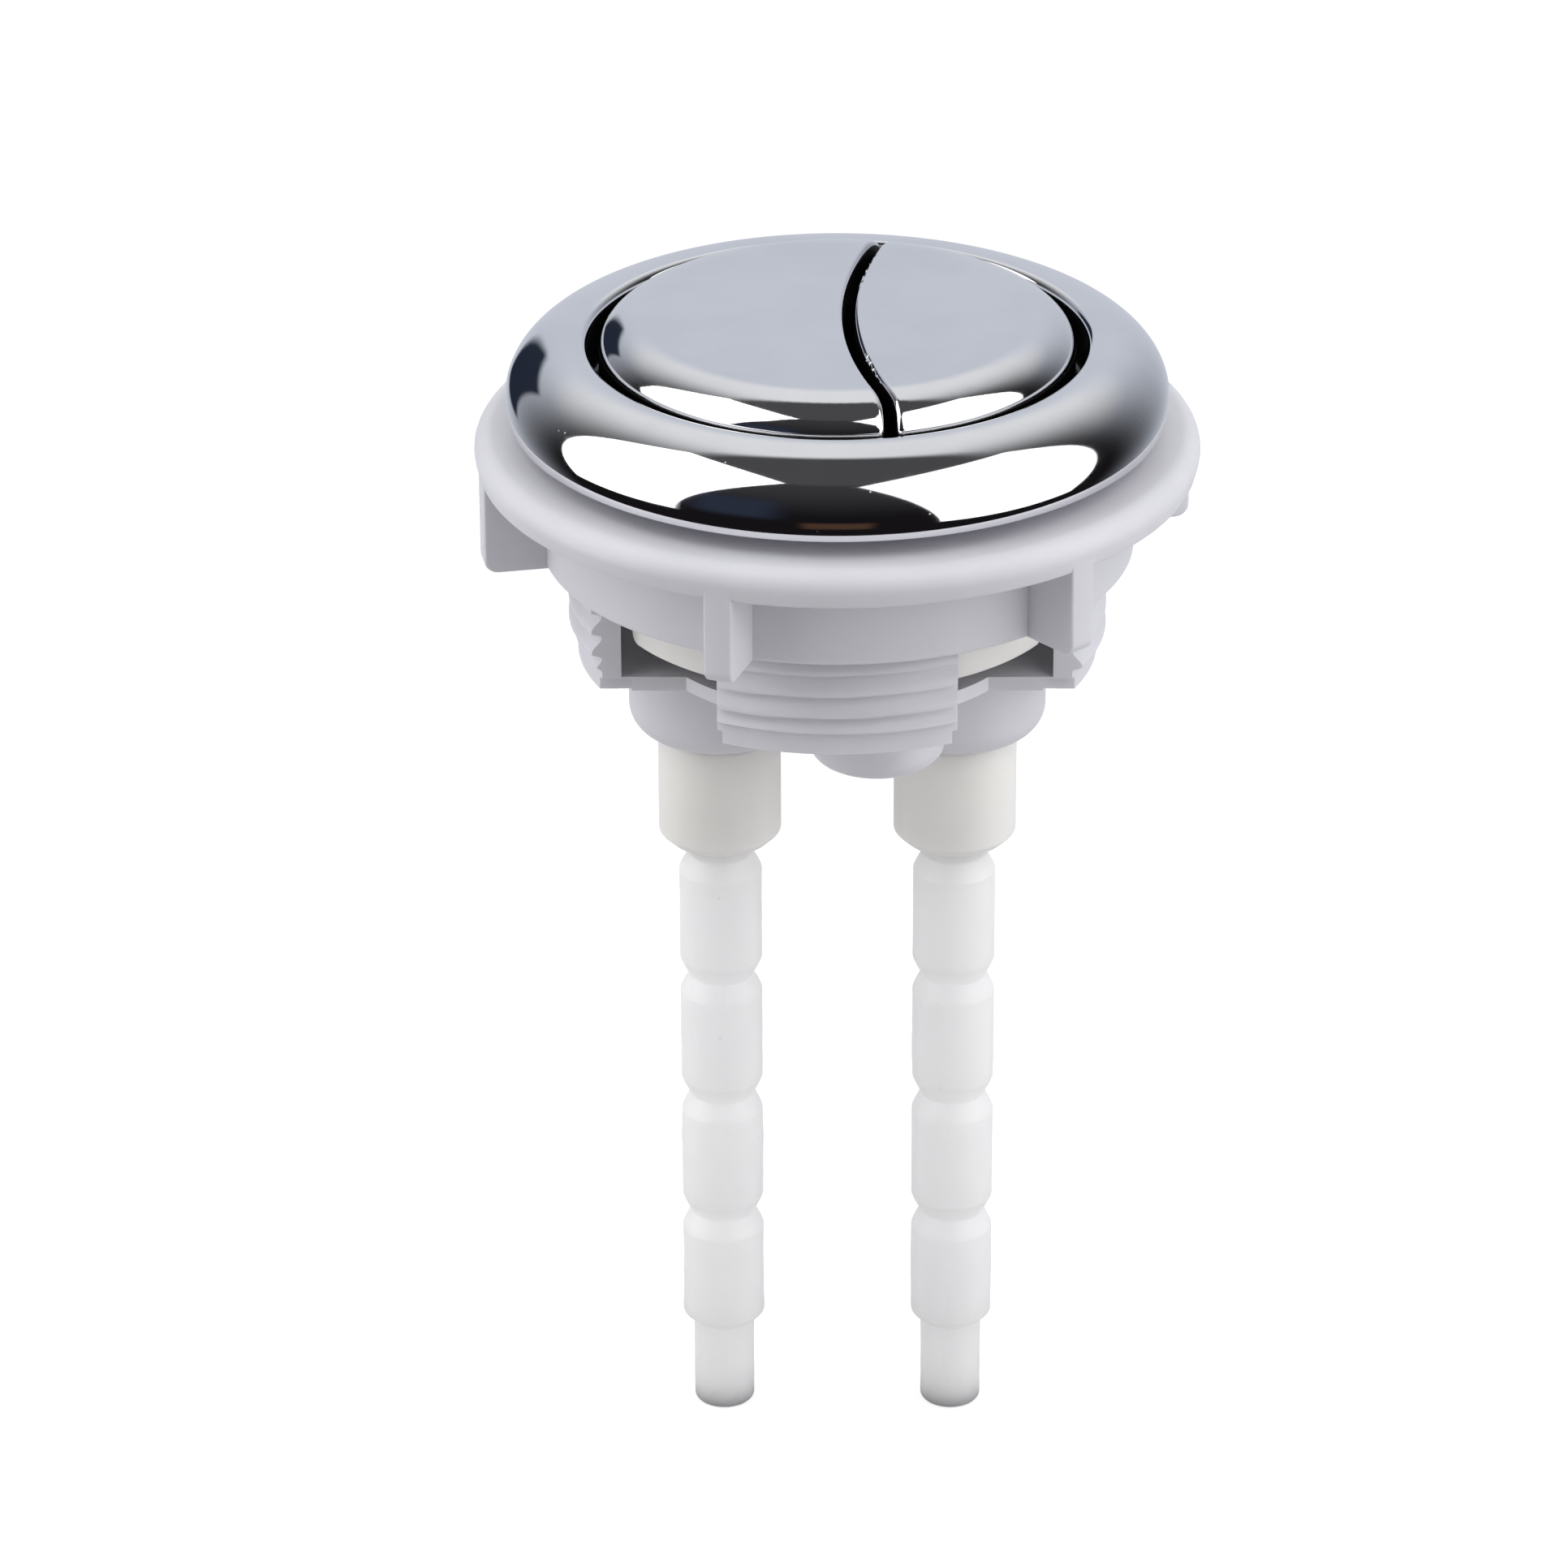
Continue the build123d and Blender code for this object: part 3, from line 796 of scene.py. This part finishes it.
def barrel_base():
    """Floor of the barrel, with its two guide cups and its blind boss."""
    base = upright("base", cross_plan(), barrel_bottom + face_apart, floor_top)
    cup = post_outline(cup_r, cup_bottom, cup_round)
    for x in (-rod_x, rod_x):
        combine(base, turned("cup", cup, cup_segments, x), "UNION")
    boss = post_outline(boss_r, boss_bottom, boss_round)
    combine(base, turned("boss", boss, cup_segments, boss_x, boss_y), "UNION")
    hollow_r = cup_r - cup_wall
    hollow = [
        (0, cup_bottom - overcut), (stem_hole_r, cup_bottom - overcut), (stem_hole_r, cup_floor),
        (hollow_r, cup_floor), (hollow_r, floor_top + overcut), (0, floor_top + overcut),
    ]
    for x in (-rod_x, rod_x):
        combine(base, turned("hollow", hollow, cup_segments, x, shift=half_step), "DIFFERENCE")
    relief_r = boss_r - boss_wall
    relief_bottom = boss_bottom + boss_wall
    relief = [
        (0, relief_bottom), (relief_r, relief_bottom),
        (relief_r, floor_top + overcut), (0, floor_top + overcut),
    ]
    combine(base, turned("relief", relief, relief_segments, boss_x, boss_y, shift=half_step), "DIFFERENCE")
    return base


def narrow_tongues(tube):
    """Step the tongues' sides in below their last ridge."""
    depth = thread_r - floor_r - cut_room
    for x, y in ((1, 0), (-1, 0), (0, 1), (0, -1)):
        reach = Vector((band_in if y else depth, band_in if x else depth))
        for hand in (-1, 1):
            side = hand * arm_w / 2
            middle = Vector((x * thread_r + y * side, y * thread_r + x * side))
            plan = rectangle(middle - reach, middle + reach)
            combine(tube, upright("band", plan, barrel_bottom - overcut, band_top), "DIFFERENCE")


def collar_blank():
    """Flange round the barrel's top, stepped to clear the bezel's snap bead."""
    inner = bore_r - face_apart
    outer = bezel_in_r - flange_clear
    seat_r = snap_r - seat_clear
    step = snap_h + seat_clear
    corners = [
        (inner, 0, 0), (seat_r, 0, 0), (seat_r, step, 0), (outer, step, 0),
        (outer, flange_t, flange_round), (inner, flange_t, flange_round),
    ]
    return turned("collar", softened(corners, steps=3), flange_segments, shift=half_step)


floor_top = barrel_bottom + floor_t
cup_floor = cup_bottom + cup_base_t
barrel = grow(
    empty_piece("barrel"),
    threaded_tube_tree(),
    {
        "Crest Radius": thread_r,
        "Bore Radius": bore_r,
        "Depth": thread_depth,
        "Pitch": thread_pitch,
        "Crest Level": thread_crest_z + thread_pitch * front_turn,
        "Top": tube_top,
        "Bottom": barrel_bottom,
    },
    {"Segments": thread_columns, "Rows": thread_rows, "Material": white_abs},
)
cut_windows(barrel)
combine(barrel, barrel_base(), "UNION")
narrow_tongues(barrel)
combine(barrel, collar_blank(), "UNION")
for sign in (-1, 1):
    ledge_in = (sign * (bore_r - ledge_w), -ledge_len / 2)
    ledge_out = (sign * (bore_r + ledge_w / 2), ledge_len / 2)
    ledge = upright("ledge", rectangle(ledge_in, ledge_out), insert_bottom - ledge_h, insert_bottom)
    combine(barrel, ledge, "UNION")
shade(barrel, angle=38)
dress(barrel, white_abs, "white_abs", "housing", "barrel_body")


# Lock nut

def rib_ring_tree():
    """Copies of a rib, set round the axis."""
    tree, given = rule_tree("rib_ring", ("First Angle",), ("Count",))
    points = add(tree, "GeometryNodeMeshLine", {"Count": given["Count"], "Offset": (0.0, 0.0, 0.0)})
    index = add(tree, "GeometryNodeInputIndex").outputs[0]
    share = calc(tree, "DIVIDE", index, given["Count"])
    turn = calc(tree, "MULTIPLY_ADD", share, 2 * pi, given["First Angle"])
    angles = add(tree, "ShaderNodeCombineXYZ", {2: turn}).outputs[0]
    ribs = add(
        tree, "GeometryNodeInstanceOnPoints",
        {"Points": points.outputs[0], "Instance": given["Geometry"], "Rotation": angles},
    )
    close_tree(tree, ribs.outputs[0], given["Material"])
    return tree


def rib_blank():
    """One rib, standing along +X, with softened edges."""
    top = nut_top - nut_plate_t / 2
    outer = nut_flange_r - rib_in
    inner = nut_hub_r - rib_root
    half = rib_t / 2
    corners = [(inner, nut_bottom, 0), (outer, nut_bottom, rib_round), (outer, top, 0), (inner, top, 0)]
    side = softened(corners, steps=8)
    rib = prism("ribs", [(x, -half, z) for x, z in side], [(x, half, z) for x, z in side])
    bevel = rib.modifiers.new("soft edges", "BEVEL")
    bevel.width = rib_edge * MM
    bevel.segments = 3
    bevel.limit_method = "ANGLE"
    bevel.angle_limit = radians(40)
    bake_modifiers(rib)
    return rib


rim_in_r = nut_flange_r - nut_rim_w
rim_bottom = nut_top - nut_rim_h
plate_bottom = nut_top - nut_plate_t
lean = tan(radians(nut_rim_taper))
edge_r = nut_flange_r - nut_edge_round + nut_edge_round * (1 / cos(radians(nut_rim_taper)) + lean)
nut_outline = softened(
    [
        (nut_bore_r, nut_top, nut_bore_round),
        (edge_r, nut_top, nut_edge_round),
        (edge_r - nut_rim_h * lean, rim_bottom, nut_foot_round),
        (rim_in_r, rim_bottom, nut_foot_round),
        (rim_in_r, plate_bottom, nut_rim_root),
        (nut_hub_r, plate_bottom, nut_hub_root),
        (nut_hub_r, nut_bottom, nut_hub_round),
        (nut_bore_r, nut_bottom, nut_mouth_round),
    ],
    steps=8,
)
lock_nut = turned("nut", nut_outline, nut_segments)
rib_values = {"Count": rib_count, "First Angle": radians(rib_angle), "Material": white_abs}
combine(lock_nut, grow(rib_blank(), rib_ring_tree(), {}, rib_values), "UNION")
shade(lock_nut)
dress(lock_nut, white_abs, "white_abs", "nut", "lock_nut")


# Sockets, rods and springs

def notched_rod_tree():
    """Round rod with notches at a pitch, a shoulder and a thinner tip with a rounded end."""
    tree, size = rule_tree(
        "notched_rod",
        (
            "Place", "Radius", "Top", "First Notch", "Notch Pitch", "Notch Depth", "Notch Half Height",
            "Shoulder Level", "Shoulder Height", "Tip Radius", "End", "End Round", "Unevenness", "Seed",
        ),
    )
    upper = add(tree, "ShaderNodeCombineXYZ", {0: size["Place"], 2: size["Top"]}).outputs[0]
    lower = add(tree, "ShaderNodeCombineXYZ", {0: size["Place"], 2: size["End"]}).outputs[0]
    line = add(tree, "GeometryNodeCurvePrimitiveLine", {"Start": upper, "End": lower})
    fine = add(tree, "GeometryNodeResampleCurve", {"Curve": line.outputs[0], "Count": rod_rings})
    place = add(tree, "GeometryNodeInputPosition").outputs[0]
    z = add(tree, "ShaderNodeSeparateXYZ", {0: place}).outputs[2]

    shoulder_top = calc(tree, "ADD", size["Shoulder Level"], size["Shoulder Height"])
    body = ramp_between(tree, z, size["Shoulder Level"], shoulder_top, size["Tip Radius"], size["Radius"])

    half_pitch = calc(tree, "MULTIPLY", size["Notch Pitch"], 0.5)
    fall = calc(tree, "ADD", calc(tree, "SUBTRACT", size["First Notch"], z), half_pitch)
    off = calc(tree, "SUBTRACT", calc(tree, "WRAP", fall, size["Notch Pitch"], 0.0), half_pitch)
    near = calc(tree, "DIVIDE", calc(tree, "ABSOLUTE", off), size["Notch Half Height"])
    notch = calc(tree, "MAXIMUM", calc(tree, "SUBTRACT", 1.0, near), 0.0)
    notch = calc(tree, "POWER", notch, notch_power)
    notch = calc(tree, "MULTIPLY", notch, calc(tree, "GREATER_THAN", z, shoulder_top))
    body = calc(tree, "SUBTRACT", body, calc(tree, "MULTIPLY", notch, size["Notch Depth"]))

    to_end = calc(tree, "SUBTRACT", calc(tree, "ADD", size["End"], size["End Round"]), z)
    to_end = calc(tree, "MAXIMUM", calc(tree, "DIVIDE", to_end, size["End Round"]), 0.0)
    curve = calc(tree, "SUBTRACT", 1.0, calc(tree, "POWER", to_end, 2.0))
    curve = calc(tree, "SQRT", calc(tree, "MAXIMUM", curve, 0.0))
    drawn_in = calc(tree, "MULTIPLY", size["End Round"], calc(tree, "SUBTRACT", 1.0, curve))
    body = calc(tree, "SUBTRACT", body, drawn_in)

    wave = calc(tree, "MULTIPLY_ADD", z, wobble_rate, size["Seed"])
    wobble = add(
        tree, "ShaderNodeTexNoise", {"W": wave, "Scale": 1.0, "Detail": 2.0}, noise_dimensions="1D"
    ).outputs[0]
    uneven = calc(tree, "MULTIPLY", calc(tree, "SUBTRACT", wobble, wobble_bias), size["Unevenness"])
    body = calc(tree, "ADD", body, uneven)

    ring = add(tree, "GeometryNodeCurvePrimitiveCircle", {"Resolution": rod_sides, "Radius": 1.0})
    swept = add(
        tree, "GeometryNodeCurveToMesh",
        {"Curve": fine.outputs[0], "Profile Curve": ring.outputs[0], "Scale": body, "Fill Caps": True},
    )
    close_tree(tree, swept.outputs[0], size["Material"])
    return tree


def coil_tree():
    """Compression spring: a wire wound at an even pitch, with its end turns closed."""
    tree, size = rule_tree("coil", ("Place", "Radius", "Wire Radius", "Low", "High", "Turns"))
    line = add(tree, "GeometryNodeCurvePrimitiveLine", {"Start": (0.0, 0.0, 0.0), "End": (0.0, 0.0, 1.0)})
    fine = add(tree, "GeometryNodeResampleCurve", {"Curve": line.outputs[0], "Count": coil_steps})
    along = add(tree, "GeometryNodeSplineParameter").outputs["Factor"]
    angle = calc(tree, "MULTIPLY", calc(tree, "MULTIPLY", along, size["Turns"]), 2 * pi)
    low = calc(tree, "ADD", size["Low"], size["Wire Radius"])
    high = calc(tree, "SUBTRACT", size["High"], size["Wire Radius"])
    closed = calc(tree, "DIVIDE", closed_turns, size["Turns"])
    opened = calc(tree, "SUBTRACT", 1.0, closed)
    height = ramp_between(tree, along, closed, opened, low, high, smooth=False)
    spot = add(
        tree, "ShaderNodeCombineXYZ",
        {
            0: calc(tree, "MULTIPLY_ADD", calc(tree, "COSINE", angle), size["Radius"], size["Place"]),
            1: calc(tree, "MULTIPLY", calc(tree, "SINE", angle), size["Radius"]),
            2: height,
        },
    ).outputs[0]
    wound = add(tree, "GeometryNodeSetPosition", {"Geometry": fine.outputs[0], "Position": spot}).outputs[0]
    ring = add(tree, "GeometryNodeCurvePrimitiveCircle", {"Resolution": wire_sides, "Radius": 1.0}).outputs[0]
    swept = add(
        tree, "GeometryNodeCurveToMesh",
        {"Curve": wound, "Profile Curve": ring, "Scale": size["Wire Radius"], "Fill Caps": True},
    )
    close_tree(tree, swept.outputs[0], size["Material"])
    return tree


rod_tree = notched_rod_tree()
spring_tree = coil_tree()
rod_lengths = {
    "Radius": rod_r,
    "Top": rod_top,
    "First Notch": first_notch,
    "Notch Pitch": notch_pitch,
    "Notch Depth": notch_depth,
    "Notch Half Height": notch_half_h,
    "Shoulder Level": tip_top,
    "Shoulder Height": shoulder_h,
    "Tip Radius": tip_r,
    "End": tip_bottom,
    "End Round": tip_round,
    "Unevenness": rod_unevenness,
}
spring_lengths = {"Radius": spring_r, "Wire Radius": spring_wire_r, "Low": spring_low, "High": spring_high}
spring_values = {"Turns": spring_turns, "Material": steel_wire}
socket_outline = softened([
    (stem_seat_r, socket_top, socket_seat_round),
    (socket_r, socket_top, socket_top_round),
    (socket_r, socket_bottom + socket_chamfer_h, socket_side_round),
    (socket_mouth_r, socket_bottom, socket_mouth_round),
    (socket_bore_r, socket_bottom, socket_bore_round),
    (socket_bore_r, web_bottom, 0),
    (screw_hole_r, web_bottom, 0),
    (screw_hole_r, web_top, 0),
    (stem_seat_r, web_top, 0),
])
for side, sign, seed in (("full_flush", -1, 3.0), ("half_flush", 1, 11.0)):
    x = sign * rod_x
    socket = turned(f"{side}_rod_socket", socket_outline, socket_segments, x)
    shade(socket)
    dress(socket, cream_abs, "cream_abs", side, f"{side}_socket")
    rod_values = {"Seed": seed, "Material": rod_nylon}
    rod = grow(empty_piece(f"{side}_push_rod"), rod_tree, {"Place": x, **rod_lengths}, rod_values)
    shade(rod)
    dress(rod, rod_nylon, "rod_nylon", side, f"{side}_rod")
    spring = empty_piece(f"{side}_return_spring")
    grow(spring, spring_tree, {"Place": x, **spring_lengths}, spring_values)
    shade(spring)
    dress(spring, steel_wire, "steel", "housing", f"{side}_spring")
    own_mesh(spring)


# Solids that keep their own shape

def smooth_copy(node, name):
    """Merged, smoothly and evenly shaded copy of a solid."""
    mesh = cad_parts[node].data.copy()
    mesh.attributes.remove(mesh.attributes["custom_normal"])
    shell = bmesh.new()
    shell.from_mesh(mesh)
    bmesh.ops.remove_doubles(shell, verts=shell.verts, dist=copy_weld * MM)
    shell.to_mesh(mesh)
    shell.free()
    piece = put_in_scene(name, mesh)
    shade(piece, angle=30)
    even = piece.modifiers.new("even shading", "WEIGHTED_NORMAL")
    even.keep_sharp = True
    bake_modifiers(piece)
    return piece


for side in ("full_flush", "half_flush"):
    cap = smooth_copy(f"{side}_button", f"{side}_cap")
    dress(cap, chrome_plate, "chrome_plate", side, f"{side}_button")
    plunger = smooth_copy(f"{side}_plunger", f"{side}_stem")
    dress(plunger, cream_abs, "cream_abs", side, f"{side}_plunger")
    for screws in ("cap_screws", "socket_screw"):
        screw = smooth_copy(f"{side}_{screws}", f"{side}_{screws}_steel")
        dress(screw, steel_wire, "steel", side, f"{side}_{screws}")
insert = smooth_copy("guide_insert", "guide_plate")
dress(insert, cream_abs, "cream_abs", "housing", "guide_insert")


# Camera

camera = bpy.data.cameras.new("camera")
camera.sensor_width = view_sensor
camera.lens = view_lens
camera.shift_x = view_shift
camera_object = put_in_scene("camera", camera)
camera_object.location = (0, -view_dist * cos(view_el), view_target_z + view_dist * sin(view_el))
camera_object.rotation_euler = (radians(90) - view_el, 0, 0)
bpy.context.scene.camera = camera_object


# Floor

def grey(value):
    """Neutral colour."""
    return (value, value, value, 1.0)


def pale_floor():
    """Floor that the camera sees as white with a faint shadow, and that throws less light up at its middle."""
    material, tree = bare_material("pale_floor")
    cloud_span = (0.3, 0.7)
    place = add(tree, "ShaderNodeTexCoord").outputs["Object"]
    spot = add(tree, "ShaderNodeSeparateXYZ", {0: place}).outputs
    tone = ramp_between(tree, noise(tree, place, scale=3.0, detail=2.0), *cloud_span, *floor_tones)
    lit = add(tree, "ShaderNodeBsdfDiffuse", {"Color": tone})
    glow = add(tree, "ShaderNodeEmission", {"Color": grey(floor_glow), "Strength": 1.0})
    white = add(tree, "ShaderNodeAddShader", {0: lit.outputs[0], 1: glow.outputs[0]})
    aside = ramp_between(tree, calc(tree, "ABSOLUTE", spot[0]), *bounce_aside, *bounce_aside_tones)
    front = ramp_between(tree, spot[1], *bounce_front, *bounce_front_tones)
    bounce = add(tree, "ShaderNodeBsdfDiffuse", {"Color": calc(tree, "MULTIPLY", aside, front)})
    seen = add(tree, "ShaderNodeLightPath").outputs["Is Camera Ray"]
    shader = add(tree, "ShaderNodeMixShader", {0: seen, 1: bounce.outputs[0], 2: white.outputs[0]})
    finish_material(tree, shader)
    return material


floor_level = (tip_bottom - floor_drop) * MM
floor_plan = rectangle((-floor_reach, -floor_reach), (floor_reach, floor_reach))
floor_mesh = bpy.data.meshes.new("floor")
floor_mesh.from_pydata([(x, y, floor_level) for x, y in floor_plan], [], [(0, 1, 2, 3)])
floor = put_in_scene("floor", floor_mesh)
floor.data.materials.append(pale_floor())
floor.visible_glossy = False


# Studio light

def soft_panel(name, azimuth, elevation, distance, width, height, radiance):
    """Rectangular lamp, in metres, that faces the object, seen from the front at azimuth to the right."""
    lamp = bpy.data.lights.new(name, "AREA")
    lamp.shape = "RECTANGLE"
    lamp.size = width
    lamp.size_y = height
    lamp.energy = radiance * pi * width * height
    turn = radians(azimuth)
    rise = radians(elevation)
    out = Vector((sin(turn) * cos(rise), -cos(turn) * cos(rise), sin(rise)))
    panel = put_in_scene(name, lamp)
    panel.location = out * distance
    panel.rotation_mode = "QUATERNION"
    panel.rotation_quaternion = out.to_track_quat("Z", "Y")
    panel.visible_camera = False


def by_degrees(tree, angle, low, high, start=0.0, end=1.0):
    """Output that goes from start to end while an angle goes from low to high degrees."""
    return ramp_between(tree, angle, radians(low), radians(high), start, end)


def off_heading(tree, heading, middle):
    """Angle from a heading to another, given in degrees."""
    return calc(tree, "ABSOLUTE", calc(tree, "SUBTRACT", heading, radians(middle)))


def dim_room(tree, heading, level, backness):
    """What the chrome mirrors: a dark front, a pale wall at the back, a dim ceiling and some patches."""
    wall = mix_colour(tree, by_degrees(tree, level, *wall_levels), wall_low, wall_high)
    front = mix_colour(tree, by_degrees(tree, level, *front_levels), front_low, front_high)
    room = mix_colour(tree, backness, front, wall)
    room = mix_colour(tree, by_degrees(tree, level, *ceiling_levels), room, ceiling)
    for middle, half_width, lowest, highest, soft, colour in room_patches:
        aside = off_heading(tree, heading, middle)
        across = by_degrees(tree, aside, half_width - soft, half_width + soft, 1.0, 0.0)
        above = by_degrees(tree, level, lowest - soft, lowest + soft)
        below = by_degrees(tree, level, highest - soft, highest + soft, 1.0, 0.0)
        patch = calc(tree, "MULTIPLY", across, calc(tree, "MULTIPLY", above, below))
        room = mix_colour(tree, patch, room, colour)
    return room


def light_tent(tree, heading, level, backness):
    """What lights the plastics: a tent that is brightest at the back, with a dark gap near the camera."""
    tent = mix_colour(tree, backness, grey(tent_front), grey(tent_back))
    gap = by_degrees(tree, off_heading(tree, heading, tent_gap_heading), *tent_gap_widths, 1.0, 0.0)
    tent = mix_colour(tree, gap, tent, grey(tent_gap))
    return mix_colour(tree, by_degrees(tree, level, *tent_top_levels), tent, grey(tent_top))


soft_panel("left_panel", azimuth=-77, elevation=25, distance=0.6, width=0.63, height=1.26, radiance=1.7)
soft_panel("right_panel", azimuth=62, elevation=20, distance=0.6, width=0.80, height=1.43, radiance=1.5)

world = bpy.data.worlds.new("studio")
world.use_nodes = True
bpy.context.scene.world = world
sky = world.node_tree
sky.nodes.clear()
direction = add(sky, "ShaderNodeTexCoord").outputs["Generated"]
axes = add(sky, "ShaderNodeSeparateXYZ", {0: direction}).outputs
sky_heading = calc(sky, "ARCTAN2", axes[0], calc(sky, "MULTIPLY", axes[1], -1.0))
sky_level = calc(sky, "ARCSINE", axes[2])
sky_backness = by_degrees(sky, calc(sky, "ABSOLUTE", sky_heading), *back_headings)
tent_colour = light_tent(sky, sky_heading, sky_level, sky_backness)
room_colour = dim_room(sky, sky_heading, sky_level, sky_backness)
rays = add(sky, "ShaderNodeLightPath").outputs
studio = mix_colour(sky, rays["Is Glossy Ray"], tent_colour, room_colour)
seen_bare = calc(sky, "MAXIMUM", rays["Is Camera Ray"], rays["Is Transmission Ray"])
whole = mix_colour(sky, seen_bare, studio, grey(1.0))
background = add(sky, "ShaderNodeBackground", {"Color": whole, "Strength": 1.0})
sky.links.new(background.outputs[0], sky.nodes.new("ShaderNodeOutputWorld").inputs["Surface"])

bpy.context.scene.view_settings.view_transform = "Standard"
